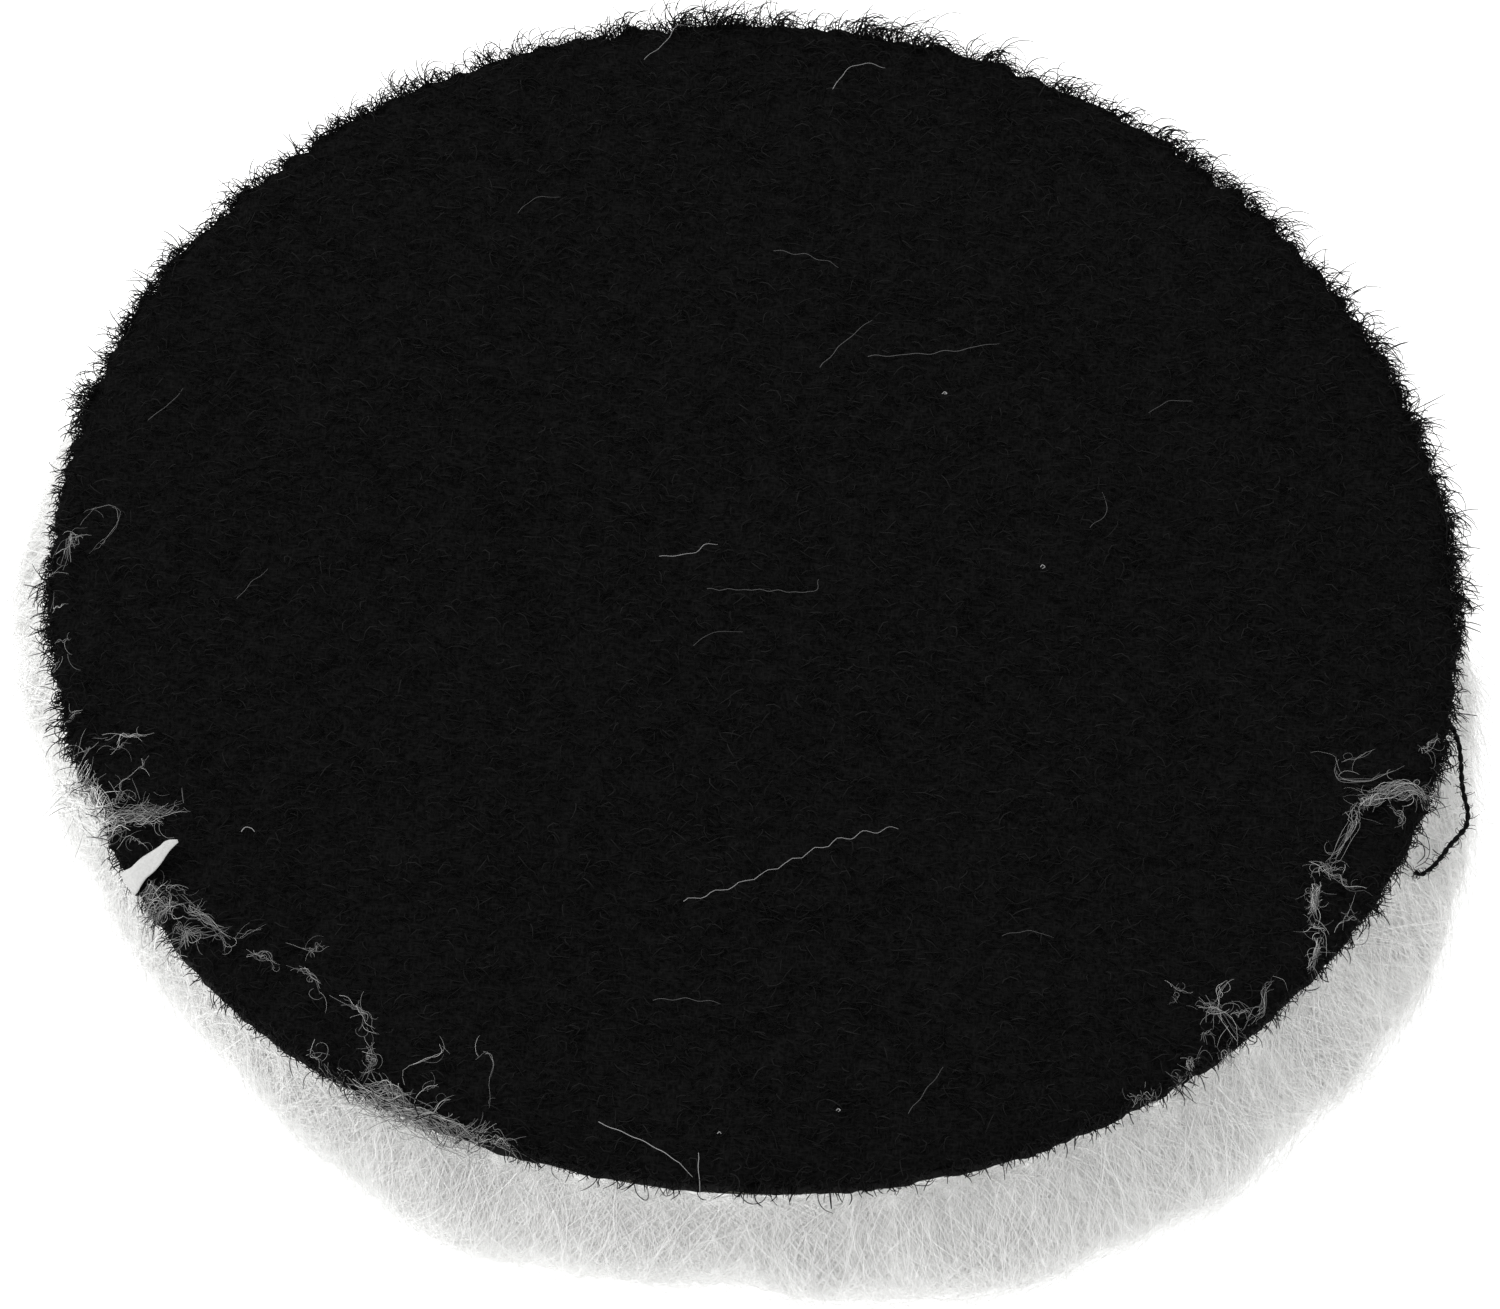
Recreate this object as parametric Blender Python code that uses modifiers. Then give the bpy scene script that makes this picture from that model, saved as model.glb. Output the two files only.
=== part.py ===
"""A hook-and-loop wool polishing pad, lying with its wool down.

It is a laminated disc. From the top it has a brushed nylon loop nap, the knitted ground cloth
that the loops stand on, a film of hot-melt adhesive, the cloth that the wool is knitted into,
and the wool pile itself. Metres, +Z up. The origin is the centre of the face it rests on.
"""

import math

import bpy

OBJECT_NAME = "wool_polishing_pad"

# Driving dimensions, in metres
PAD_DIAMETER = 0.0760
NAP_HEIGHT = 0.0015
GROUND_CLOTH_THICKNESS = 0.0005
ADHESIVE_THICKNESS = 0.0003
BACKING_THICKNESS = 0.0010
PILE_LENGTH = 0.0051
LAYER_GAP = 0.0003

# The wool stands out past its backing: at its fullest, and where it meets the floor
PILE_BULGE = 0.0024
PILE_FOOT_FLARE = 0.0009
PILE_FULLEST_AT = 0.55
LOCK_COUNT = 20
LOCK_DEPTH = 0.00035

# The adhesive stops short of the rim, and the nap's edges are worn round
ADHESIVE_INSET = 0.0004
NAP_EDGE_RADIUS = 0.0005
CLOTH_EDGE_RADIUS = 0.00012
BACKING_EDGE_RADIUS = 0.0003
FOOT_RADIUS = 0.0008

# How finely the round shapes are cut
TURN_STEPS = 120
CORNER_STEPS = 2
WALL_STEPS = 8
MERGE_DISTANCE = 0.00001

# Heights of the layers, from the floor up
PILE_TOP = PILE_LENGTH
BACKING_BOTTOM = PILE_TOP + LAYER_GAP
BACKING_TOP = BACKING_BOTTOM + BACKING_THICKNESS
ADHESIVE_BOTTOM = BACKING_TOP + LAYER_GAP
ADHESIVE_TOP = ADHESIVE_BOTTOM + ADHESIVE_THICKNESS
GROUND_CLOTH_BOTTOM = ADHESIVE_TOP + LAYER_GAP
GROUND_CLOTH_TOP = GROUND_CLOTH_BOTTOM + GROUND_CLOTH_THICKNESS
NAP_BOTTOM = GROUND_CLOTH_TOP + LAYER_GAP
NAP_TOP = NAP_BOTTOM + NAP_HEIGHT
PAD_RADIUS = PAD_DIAMETER / 2


def clear_scene():
    """Remove every object, so the pad is alone in the file."""
    for leftover in list(bpy.data.objects):
        bpy.data.objects.remove(leftover, do_unlink=True)


def new_collection(name):
    """A collection linked under the scene, for the pad's own pieces."""
    collection = bpy.data.collections.new(name)
    bpy.context.scene.collection.children.link(collection)
    return collection


def new_material(name, colour, roughness, metallic=0.0):
    """A Principled material of one linear colour."""
    material = bpy.data.materials.new(name)
    material.use_nodes = True
    shader = material.node_tree.nodes["Principled BSDF"]
    shader.inputs["Base Color"].default_value = (*colour, 1.0)
    shader.inputs["Roughness"].default_value = roughness
    shader.inputs["Metallic"].default_value = metallic
    return material


def corner(centre_radius, centre_height, rounding, start_angle, end_angle):
    """Points of an arc in the profile, angles in degrees from +X towards +Z."""
    points = []
    for step in range(CORNER_STEPS + 1):
        angle = math.radians(start_angle + (end_angle - start_angle) * step / CORNER_STEPS)
        radius = centre_radius + rounding * math.cos(angle)
        height = centre_height + rounding * math.sin(angle)
        points.append((radius, height))
    return points


def disc_profile(radius, bottom, top, rounding):
    """Half section of a flat disc with rounded edges, from its top centre down to its bottom centre."""
    centre_radius = radius - rounding
    upper_edge = corner(centre_radius, top - rounding, rounding, 90.0, 0.0)
    lower_edge = corner(centre_radius, bottom + rounding, rounding, 0.0, -90.0)
    return [(0.0, top)] + upper_edge + lower_edge + [(0.0, bottom)]


def turned(name, profile, material, collection):
    """Turn a half section round Z, and close it on the axis."""
    mesh = bpy.data.meshes.new(name)
    points = [(radius, 0.0, height) for radius, height in profile]
    edges = [(index, index + 1) for index in range(len(points) - 1)]
    mesh.from_pydata(points, edges, [])
    piece = bpy.data.objects.new(name, mesh)
    collection.objects.link(piece)
    screw = piece.modifiers.new("turn", "SCREW")
    screw.axis = "Z"
    screw.steps = TURN_STEPS
    screw.render_steps = TURN_STEPS
    screw.use_merge_vertices = True
    screw.merge_threshold = MERGE_DISTANCE
    screw.use_smooth_shade = True
    piece.data.materials.append(material)
    return piece


def pile_wall_radius(depth):
    """Radius of the wool's side, at a depth from 0 at its roots to 1 at the floor.

    The side runs straight from the roots to the foot, plus a bulge that is a half sine wave,
    with its crest moved to PILE_FULLEST_AT by raising the depth to a power.
    """
    crest_power = math.log(0.5) / math.log(PILE_FULLEST_AT)
    straight = PILE_FOOT_FLARE * depth
    swell = math.sin(math.pi * depth**crest_power)
    return PAD_RADIUS + straight + (PILE_BULGE - PILE_FOOT_FLARE * PILE_FULLEST_AT) * swell


def pile_profile():
    """Half section of the wool: flat where it is rooted, full at its side, flat on the floor."""
    points = [(0.0, PILE_TOP)]
    for step in range(WALL_STEPS + 1):
        depth = step / WALL_STEPS * (1.0 - FOOT_RADIUS / PILE_LENGTH)
        points.append((pile_wall_radius(depth), PILE_TOP - PILE_LENGTH * depth))
    foot_radius = points[-1][0] - FOOT_RADIUS
    points += corner(foot_radius, FOOT_RADIUS, FOOT_RADIUS, 0.0, -90.0)[1:]
    points.append((0.0, 0.0))
    return points


def comb_into_locks(pile):
    """Draw the wool's side in between its locks, by a cosine wave that deepens towards the floor."""
    evaluated = pile.evaluated_get(bpy.context.evaluated_depsgraph_get())
    combed = bpy.data.meshes.new_from_object(evaluated)
    for vertex in combed.vertices:
        radius = math.hypot(vertex.co.x, vertex.co.y)
        if radius < PAD_RADIUS / 2:
            continue
        depth = 1.0 - vertex.co.z / PILE_LENGTH
        angle = math.atan2(vertex.co.y, vertex.co.x)
        wave = math.cos(LOCK_COUNT * angle) - 1.0
        scale = 1.0 + LOCK_DEPTH * depth * wave / radius
        vertex.co.x *= scale
        vertex.co.y *= scale
    pile.modifiers.clear()
    pile.data = combed


def make_loop_nap(collection):
    """The brushed nylon loops that the hooks of a backing plate catch in."""
    nylon = new_material("black_brushed_nylon", (0.005, 0.005, 0.005), 0.9)
    profile = disc_profile(PAD_RADIUS, NAP_BOTTOM, NAP_TOP, NAP_EDGE_RADIUS)
    return turned("loop_nap", profile, nylon, collection)


def make_ground_cloth(collection):
    """The thin knitted cloth that holds the loops' roots."""
    cloth = new_material("black_warp_knit", (0.007, 0.007, 0.007), 0.85)
    profile = disc_profile(PAD_RADIUS, GROUND_CLOTH_BOTTOM, GROUND_CLOTH_TOP, CLOTH_EDGE_RADIUS)
    return turned("loop_ground_cloth", profile, cloth, collection)


def make_adhesive_film(collection):
    """The hot-melt film that bonds the loop cloth to the wool's backing."""
    glue = new_material("hot_melt_film", (0.62, 0.60, 0.54), 0.35)
    radius = PAD_RADIUS - ADHESIVE_INSET
    profile = disc_profile(radius, ADHESIVE_BOTTOM, ADHESIVE_TOP, CLOTH_EDGE_RADIUS)
    return turned("adhesive_film", profile, glue, collection)


def make_wool_backing(collection):
    """The cloth that the wool is knitted into."""
    cloth = new_material("undyed_backing_cloth", (0.70, 0.69, 0.66), 0.9)
    profile = disc_profile(PAD_RADIUS, BACKING_BOTTOM, BACKING_TOP, BACKING_EDGE_RADIUS)
    return turned("wool_backing", profile, cloth, collection)


def make_wool_pile(collection):
    """The working face: lambswool, spread a little under the pad's own weight."""
    wool = new_material("white_lambswool", (0.86, 0.86, 0.85), 0.95)
    pile = turned("wool_pile", pile_profile(), wool, collection)
    comb_into_locks(pile)
    return pile


def main():
    """Build the pad's five layers under one empty."""
    clear_scene()
    collection = new_collection(OBJECT_NAME)
    centre = bpy.data.objects.new("pad_centre", None)
    collection.objects.link(centre)
    makers = (
        make_loop_nap,
        make_ground_cloth,
        make_adhesive_film,
        make_wool_backing,
        make_wool_pile,
    )
    for make in makers:
        make(collection).parent = centre


main()
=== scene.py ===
# %% [markdown]
# # A wool polishing pad, dressed in fibres
# The pad is a disc of soft layers: black nylon loops on top, a knitted cloth under them, a film of
# glue, the cloth that the wool is knitted into, and the wool itself, which it lies on. The packed
# model gives the size and place of every layer. This lesson dresses it: thousands of loops, wool
# fibres and loose threads are worked out with numpy as whole arrays, then handed to Blender.

# %% Load the fixed frame
import math

import bpy
import numpy as np
from mathutils import Matrix, Vector


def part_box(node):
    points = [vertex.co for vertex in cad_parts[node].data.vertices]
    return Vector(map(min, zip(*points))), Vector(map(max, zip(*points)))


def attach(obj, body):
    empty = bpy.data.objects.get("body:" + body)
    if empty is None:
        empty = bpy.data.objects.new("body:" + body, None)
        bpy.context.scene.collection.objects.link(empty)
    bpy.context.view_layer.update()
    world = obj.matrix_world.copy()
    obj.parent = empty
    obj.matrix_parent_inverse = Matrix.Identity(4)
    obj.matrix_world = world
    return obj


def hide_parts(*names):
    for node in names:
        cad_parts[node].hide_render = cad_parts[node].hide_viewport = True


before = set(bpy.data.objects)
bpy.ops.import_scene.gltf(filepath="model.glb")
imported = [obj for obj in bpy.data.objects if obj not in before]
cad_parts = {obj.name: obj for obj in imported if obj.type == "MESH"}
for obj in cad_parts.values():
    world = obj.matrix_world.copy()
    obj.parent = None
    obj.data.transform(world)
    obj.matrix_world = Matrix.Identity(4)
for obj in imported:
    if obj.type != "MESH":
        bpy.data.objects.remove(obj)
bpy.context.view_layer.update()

# %% [markdown]
# ## The measures that everything else is worked out from
# A layer starts and ends where its solid in the frame does, so its heights are read from there and
# never typed in. Lengths are written in millimetres times MM: Blender's unit is the metre.

# %% Heights and radius, read from the frame
MM = 0.001
TURN = 2 * math.pi  # a full turn, in radians


def heights(node):
    """Lowest and highest height of a layer, read from its solid."""
    low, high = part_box(node)
    return low.z, high.z


NAP_LOW, NAP_HIGH = heights("loop_nap")
CLOTH_LOW = heights("loop_ground_cloth")[0]
FILM_LOW, FILM_HIGH = heights("adhesive_film")
PILE_HIGH = heights("wool_pile")[1]
PAD_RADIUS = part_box("loop_nap")[1].x
FILM_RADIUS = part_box("adhesive_film")[1].x
print(f"pad radius {PAD_RADIUS / MM:.1f} mm, nap top {NAP_HIGH / MM:.1f} mm up")

# %% [markdown]
# ## The camera
# The pad is a flat disc, so one look from above at an angle shows both its black face and the wool
# under its near edge. A long lens keeps the circle close to a plain ellipse, and the camera is
# rolled a few degrees, so the pad's right side hangs a little lower in the frame.

# %% Place the camera
CAMERA_LENS = 165.2
CAMERA_DISTANCE = 380 * MM
CAMERA_ELEVATION = math.radians(55.9)
CAMERA_ROLL = math.radians(4.0)
CAMERA_AIM = Vector((0.06 * MM, 0.65 * MM, 0.0))
CAMERA_NEAREST = 10 * MM


def camera_axes(elevation, roll):
    """Forward looks down by the elevation; right and up are turned about it by the roll."""
    forward = Vector((0.0, math.cos(elevation), -math.sin(elevation)))
    level_right = Vector((1.0, 0.0, 0.0))
    level_up = level_right.cross(forward)
    right = level_right * math.cos(roll) + level_up * math.sin(roll)
    return right, right.cross(forward), forward


camera_data = bpy.data.cameras.new("camera")
camera_data.lens = CAMERA_LENS
camera_data.clip_start = CAMERA_NEAREST
camera = bpy.data.objects.new("camera", camera_data)
bpy.context.scene.collection.objects.link(camera)
camera_right, camera_up, camera_forward = camera_axes(CAMERA_ELEVATION, CAMERA_ROLL)
camera.matrix_world = Matrix((camera_right, camera_up, -camera_forward)).transposed().to_4x4()
camera.location = CAMERA_AIM - camera_forward * CAMERA_DISTANCE
bpy.context.scene.camera = camera
print("camera stands at", [round(c, 3) for c in camera.location])

# %% [markdown]
# ## Colours, nodes and materials
# Colours are picked as sRGB hex values, the way a screen shows them, but a shader wants linear
# light, so one function turns them. Another adds any shader node with its settings and links. A
# number that is the same all over a surface goes straight onto the shader's own socket.

# %% Helpers for materials


def linear(hex_colour):
    """sRGB to linear: below 0.04045 divide by 12.92, above it raise (c + 0.055) / 1.055 to 2.4."""
    srgb = np.array([int(hex_colour[i : i + 2], 16) for i in (1, 3, 5)]) / 255.0
    light = np.where(srgb <= 0.04045, srgb / 12.92, ((srgb + 0.055) / 1.055) ** 2.4)
    return (*(float(c) for c in light), 1.0)


def add_node(tree, kind, inputs=None, **settings):
    """Add a node, set its own properties, then give each input a link or a value."""
    node = tree.nodes.new(kind)
    for name, value in settings.items():
        setattr(node, name, value)
    for name, value in (inputs or {}).items():
        if isinstance(value, bpy.types.NodeSocket):
            tree.links.new(value, node.inputs[name])
        else:
            node.inputs[name].default_value = value
    return node


def new_surface(name, colour, roughness, specular=0.5, sheen=0.0):
    """A Principled material; its tree and shader come back so that patterns can be added."""
    material = bpy.data.materials.new(name)
    material.use_nodes = True
    shader = material.node_tree.nodes["Principled BSDF"]
    shader.inputs["Base Color"].default_value = linear(colour)
    shader.inputs["Roughness"].default_value = roughness
    shader.inputs["Specular IOR Level"].default_value = specular
    shader.inputs["Sheen Weight"].default_value = sheen
    return material, material.node_tree, shader


def paint(material, share, dark, light, relief, depth):
    """Mix two colours by one pattern into the base colour, and dent the surface by a relief."""
    tree = material.node_tree
    shader = tree.nodes["Principled BSDF"]
    ends = {0: share, 6: linear(dark), 7: linear(light)}
    tint = add_node(tree, "ShaderNodeMix", ends, data_type="RGBA")
    bump = add_node(tree, "ShaderNodeBump", {"Height": relief, "Distance": depth})
    tree.links.new(tint.outputs[2], shader.inputs["Base Color"])
    tree.links.new(bump.outputs["Normal"], shader.inputs["Normal"])
    return material


# %% [markdown]
# ## A plain studio
# The pad lies on a white table that is lit until it burns out to paper white, in a white tent of
# light. A key light behind it on the left leaves the wool that faces forward a little grey, and
# two low fills lift the wool at the sides until it nearly melts into the table.

# %% Table, tent, key and fills
TABLE_SIZE = 3.0
TABLE_GLOW = 0.42
TENT_FRONT = 0.98
TENT_BACK = 1.0
TENT_TURN = (-0.75, 0.05)
KEY_WATTS = 6.0
KEY_PLACE = Vector((-0.60, 0.55, 0.70))
KEY_SIZE = 0.7
FILL_SIZE = 0.6
FILLS = (
    # name, watts, place
    ("left_fill", 2.2, Vector((-0.80, -0.25, 0.22))),
    ("right_fill", 1.1, Vector((0.80, -0.45, 0.22))),
)


def studio_table():
    """A flat square under the pad, glowing faintly like lit acrylic so its shade stays light."""
    material, _, shader = new_surface("lit_white_acrylic", "#F5F5F5", 0.6, specular=0.2)
    shader.inputs["Emission Color"].default_value = linear("#FFFFFF")
    shader.inputs["Emission Strength"].default_value = TABLE_GLOW
    mesh = bpy.data.meshes.new("studio_table")
    half = TABLE_SIZE / 2
    corners = [(-half, -half, 0), (half, -half, 0), (half, half, 0), (-half, half, 0)]
    mesh.from_pydata(corners, [], [(0, 1, 2, 3)])
    table = bpy.data.objects.new("studio_table", mesh)
    bpy.context.scene.collection.objects.link(table)
    mesh.materials.append(material)
    return table


def light_tent():
    """A white world whose strength rises from front to back, by the y part of the direction."""
    world = bpy.data.worlds.new("light_tent")
    world.use_nodes = True
    tree = world.node_tree
    aim = add_node(tree, "ShaderNodeTexCoord").outputs["Generated"]
    parts = add_node(tree, "ShaderNodeSeparateXYZ", {"Vector": aim})
    ramp = {"Value": parts.outputs["Y"], "From Min": TENT_TURN[0], "From Max": TENT_TURN[1],
            "To Min": TENT_FRONT, "To Max": TENT_BACK}
    strength = add_node(tree, "ShaderNodeMapRange", ramp, interpolation_type="SMOOTHSTEP")
    tree.nodes["Background"].inputs["Color"].default_value = linear("#FFFFFF")
    tree.links.new(strength.outputs["Result"], tree.nodes["Background"].inputs["Strength"])
    return world


def soft_light(name, place, size, watts):
    """A square area light that faces the pad's centre."""
    data = bpy.data.lights.new(name, "AREA")
    data.size = size
    data.energy = watts
    light = bpy.data.objects.new(name, data)
    bpy.context.scene.collection.objects.link(light)
    light.location = place
    light.rotation_euler = place.to_track_quat("Z", "Y").to_euler()
    return light


studio_table()
soft_light("key_light", KEY_PLACE, KEY_SIZE, KEY_WATTS)
for fill_name, fill_watts, fill_place in FILLS:
    soft_light(fill_name, fill_place, FILL_SIZE, fill_watts)
bpy.context.scene.world = light_tent()
bpy.context.scene.view_settings.view_transform = "Standard"
print("key", KEY_WATTS, "W and", len(FILLS), "fills, tent", TENT_FRONT, "to", TENT_BACK)

# %% [markdown]
# ## Meshes from whole arrays
# Every shape here is an array of points and one or more arrays of faces, each row a face. Blender
# takes them in one go with foreach_set, which is what makes tens of thousands of fibres practical.

# %% Helpers for meshes


def mesh_piece(name, points, faces, materials, tones=None):
    """One object from points (n, 3) and a list of face arrays; tones picks each face's material."""
    mesh = bpy.data.meshes.new(name)
    corners = np.concatenate([rows.ravel() for rows in faces])
    sides = np.concatenate([np.full(len(rows), rows.shape[1]) for rows in faces])
    starts = np.cumsum(sides) - sides
    mesh.vertices.add(len(points))
    mesh.vertices.foreach_set("co", points.astype(np.float32).ravel())
    mesh.loops.add(len(corners))
    mesh.loops.foreach_set("vertex_index", corners.astype(np.int32))
    mesh.polygons.add(len(sides))
    mesh.polygons.foreach_set("loop_start", starts.astype(np.int32))
    mesh.update(calc_edges=True)
    for material in materials:
        mesh.materials.append(material)
    if tones is not None:
        mesh.polygons.foreach_set("material_index", tones.astype(np.int32))
    mesh.shade_smooth()
    piece = bpy.data.objects.new(name, mesh)
    bpy.context.scene.collection.objects.link(piece)
    return piece


def around(radius, angle, height):
    """Points (..., 3) at a radius, an angle round the pad's middle, and a height."""
    return np.stack([radius * np.cos(angle), radius * np.sin(angle), height + 0 * radius], axis=-1)


def round_grid(rows, columns):
    """Quads of a grid that closes on itself across its columns; row 0 is the first ring."""
    row, column = np.meshgrid(np.arange(rows - 1), np.arange(columns), indexing="ij")
    here = row * columns + column
    beside = row * columns + (column + 1) % columns
    return np.stack([here, here + columns, beside + columns, beside], axis=-1).reshape(-1, 4)


def turned_piece(name, rings, top, bottom, materials):
    """A closed body from rings (rows, columns, 3) down its outside, and a point at each pole."""
    rows, columns = rings.shape[:2]
    points = np.concatenate([rings.reshape(-1, 3), [top, bottom]])
    column = np.arange(columns)
    beside = (column + 1) % columns
    last = (rows - 1) * columns
    pole = rows * columns
    upper = np.stack([np.full(columns, pole), column, beside], axis=-1)
    lower = np.stack([np.full(columns, pole + 1), last + beside, last + column], axis=-1)
    return mesh_piece(name, points, [round_grid(rows, columns), upper, lower], materials)


def ripples(x, y, wavelength, seed, waves=9):
    """Smooth noise of about unit height: plane waves summed, in random directions and phases."""
    rng = np.random.default_rng(seed)
    aim = rng.uniform(0, TURN, waves)
    phase = rng.uniform(0, TURN, waves)
    size = TURN / (wavelength * rng.uniform(0.75, 1.35, waves))
    total = 0.0
    for turn, shift, pace in zip(aim, phase, size):
        total = total + np.sin(pace * (x * np.cos(turn) + y * np.sin(turn)) + shift)
    return total * math.sqrt(2.0 / waves)


def settle(piece, node_slot, *replaced):
    """The piece rides on the pad's only body and stands for CAD nodes; node_slot is not used."""
    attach(piece, "root")
    if replaced:
        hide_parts(*replaced)
    return piece


# %% [markdown]
# ## The outline that the layers share
# The pad was punched or cut by hand from laminated cloth, so its edge isn't a true circle. Here it
# bulges a little, there the cloth has shrunk back, and the cut yarns leave it slightly ragged. One
# function gives that outline, and every layer follows it, so no layer peeps out past the next.

# %% One outline for every layer
CUT_MARKS = (
    # angle and spread in degrees, how far out in mm
    (230, 12, 0.55),
    (180, 8, -0.12),
    (210, 6, -0.08),
    (340, 9, 0.25),
    (270, 18, -0.25),
    (68, 9, 0.15),
)
RAGGED = ((0.05, 3.0, 3), (0.04, 0.9, 4))  # height and wavelength in mm, seed
FAR_MIDDLE, FAR_SPREAD = 78, 48


def cut_outline(angle):
    """Radius at an angle: the pad's radius, a bell curve for each cut mark, and ragged ripples."""
    degrees = np.degrees(angle)
    radius = np.full(np.shape(angle), PAD_RADIUS)
    for centre, spread, height in CUT_MARKS:
        away = (degrees - centre + 180) % 360 - 180
        radius = radius + height * MM * np.exp(-0.5 * (away / spread) ** 2)
    x, y = PAD_RADIUS * np.cos(angle), PAD_RADIUS * np.sin(angle)
    ragged = sum(size * ripples(x, y, wavelength * MM, seed) for size, wavelength, seed in RAGGED)
    return radius + ragged * MM


def far_side(angle):
    """One along the far edge of the rim, falling as a bell curve to nothing along the near edge."""
    return np.exp(-0.5 * ((np.degrees(angle % TURN) - FAR_MIDDLE) / FAR_SPREAD) ** 2)


outline = cut_outline(np.linspace(0, TURN, 720)) / MM
print(f"outline from {outline.min():.2f} to {outline.max():.2f} mm")

# %% [markdown]
# ## The hidden layers: knitted cloth, glue film and wool backing
# These show at most as thin lines at the rim, between the black loops and the wool. Each is a disc
# with a softened edge. The black ground cloth is a fine warp knit, so its bump follows rows of
# stitches about half a millimetre apart, and painted shade darkens the gaps between them. The
# backing is a coarser cloth, undyed, with the same painted shade.

# %% A disc layer that follows the outline
LAYER_COLUMNS = 720
FACE_RINGS = 6
LAP = 0.05 * MM
COLLAR_WIDTH = 0.8 * MM
EDGE_ROUNDING = 0.1 * MM
LIFT_WIDTH = 0.6 * MM


def layer_rings(low, high, inset, lift):
    """Rings down a disc's outside: out to the rim, round its edge, and back in underneath.

    Near the rim the underside rises by the lift, where the wool's collar is tucked in below it.
    """
    angle = np.linspace(0, TURN, LAYER_COLUMNS, endpoint=False)
    rim = cut_outline(angle) - inset
    flat = [share * (rim - LIFT_WIDTH) for share in np.linspace(0.15, 1.0, FACE_RINGS)]
    bend, lifted = EDGE_ROUNDING, low + lift
    edge = [(bend, high), (0.3 * bend, high - 0.3 * bend), (0, high - bend), (0, lifted + bend),
            (0.3 * bend, lifted + 0.3 * bend), (bend, lifted)]
    radius = np.array(flat + [rim - inward for inward, _ in edge] + flat[::-1])
    height = [high] * FACE_RINGS + [level for _, level in edge] + [low] * FACE_RINGS
    return around(radius, angle, np.array(height)[:, None])


def layer_piece(name, low, high, inset, material, lift=0.0):
    """A closed disc layer between two heights."""
    rings = layer_rings(low, high, inset, lift)
    return turned_piece(name, rings, (0, 0, high), (0, 0, low), [material])


# %% Knit and cloth finishes
STITCH_SPACING = 0.55 * MM
YARN_SPACING = 0.8 * MM
WAVE_PACE = 20  # a wave texture's bands repeat every 2 pi / 20 of its own unit


def stitched_surface(name, dark, light, spacing, roughness, specular, depth):
    """Rows and columns of stitches: two crossed sine bands, multiplied, drive bump and colour; the
    gaps get painted shade.
    """
    material, tree, _ = new_surface(name, light, roughness, specular)
    place = add_node(tree, "ShaderNodeTexCoord").outputs["Object"]
    wave = {"Vector": place, "Scale": TURN / (spacing * WAVE_PACE), "Distortion": 0.6}
    bands = [add_node(tree, "ShaderNodeTexWave", wave, bands_direction=way).outputs["Fac"]
             for way in "XY"]
    knit = add_node(tree, "ShaderNodeMath", dict(enumerate(bands)), operation="MULTIPLY")
    stitches = knit.outputs["Value"]
    # painted shade: the colour darkens into the low gaps between stitches, where the bump dips
    return paint(material, stitches, dark, light, stitches, depth)


# a dull black; painted shade darkens the gaps round each stitch
black_knit = stitched_surface("black_warp_knit_polyester", "#070707", "#141414",
                              STITCH_SPACING, 0.85, 0.1, 0.08 * MM)
# an undyed off-white; painted shade darkens the gaps round each stitch
undyed_cloth = stitched_surface("undyed_backing_cloth", "#B9B8B4", "#E2E1DD",
                                YARN_SPACING, 0.9, 0.2, 0.1 * MM)
knit_low = FILM_HIGH + LAP
ground_cloth = layer_piece("ground_cloth", knit_low, NAP_LOW, LAP, black_knit,
                           lift=CLOTH_LOW - knit_low)
settle(ground_cloth, "loop_ground_cloth", "loop_ground_cloth")
backing_cloth = layer_piece("backing_cloth", PILE_HIGH + LAP, FILM_LOW - LAP, COLLAR_WIDTH,
                            undyed_cloth)
settle(backing_cloth, "wool_backing", "wool_backing")
print("ground cloth", len(ground_cloth.data.polygons), "faces")

# %% [markdown]
# ## The glue film
# Hot-melt glue sets cloudy and a little waxy, with thin and thick patches where it was rolled on.
# The film keeps the solid that the frame gives it, and only gets this finish. A broad noise moves
# its colour between two creams and its roughness between waxy and dull.

# %% Cloudy hot-melt glue


def hot_melt():
    """Broad noise mixes two creams; a finer one dents the surface like the rollers that laid it."""
    material, tree, shader = new_surface("cloudy_hot_melt_glue", "#D9D5C6", 0.35)
    place = add_node(tree, "ShaderNodeTexCoord").outputs["Object"]
    broad = {"Vector": place, "Scale": 1 / (4 * MM), "Detail": 3.0}
    cloud = add_node(tree, "ShaderNodeTexNoise", broad).outputs["Fac"]
    fine = {"Vector": place, "Scale": 1 / (0.6 * MM)}
    dents = add_node(tree, "ShaderNodeTexNoise", fine).outputs["Fac"]
    gloss = {"Value": cloud, "From Min": 0.3, "From Max": 0.7, "To Min": 0.28, "To Max": 0.5}
    rough = add_node(tree, "ShaderNodeMapRange", gloss)
    tree.links.new(rough.outputs["Result"], shader.inputs["Roughness"])
    return paint(material, cloud, "#C6C1AE", "#E6E3D8", dents, 0.04 * MM)


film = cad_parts["adhesive_film"]
for holder in film.material_slots:
    holder.material = hot_melt()
print("glue film", round((FILM_HIGH - FILM_LOW) / MM, 2), "mm thick")

# %% [markdown]
# ## The felted bed of the nap
# Under the loops that can be told apart lies a bed of matted nylon too dense to see into. Its
# surface is lumpy where tufts have been pressed together, and its edge is rolled over by wear. Its
# height is the nap's own, less the loops that stand on it, with smooth noise at two sizes.

# %% Bed of the nap
BED_TOP = NAP_HIGH - 0.45 * MM
BED_ROWS = 84
BED_COLUMNS = 720
TUFT_SPACING, TUFT_HEIGHT = 2.5 * MM, 0.05 * MM
CLUMP_SPACING, CLUMP_HEIGHT = 0.75 * MM, 0.035 * MM
SHOULDER_WIDTH = 1.2 * MM
# rings down the bed's cut side: a share of the rim's radius, and of the side's height
CUT_SIDE = ((1.004, 0.75), (1.006, 0.5), (1.004, 0.25), (1.0, 0.0), (0.97, 0.0))


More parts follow.
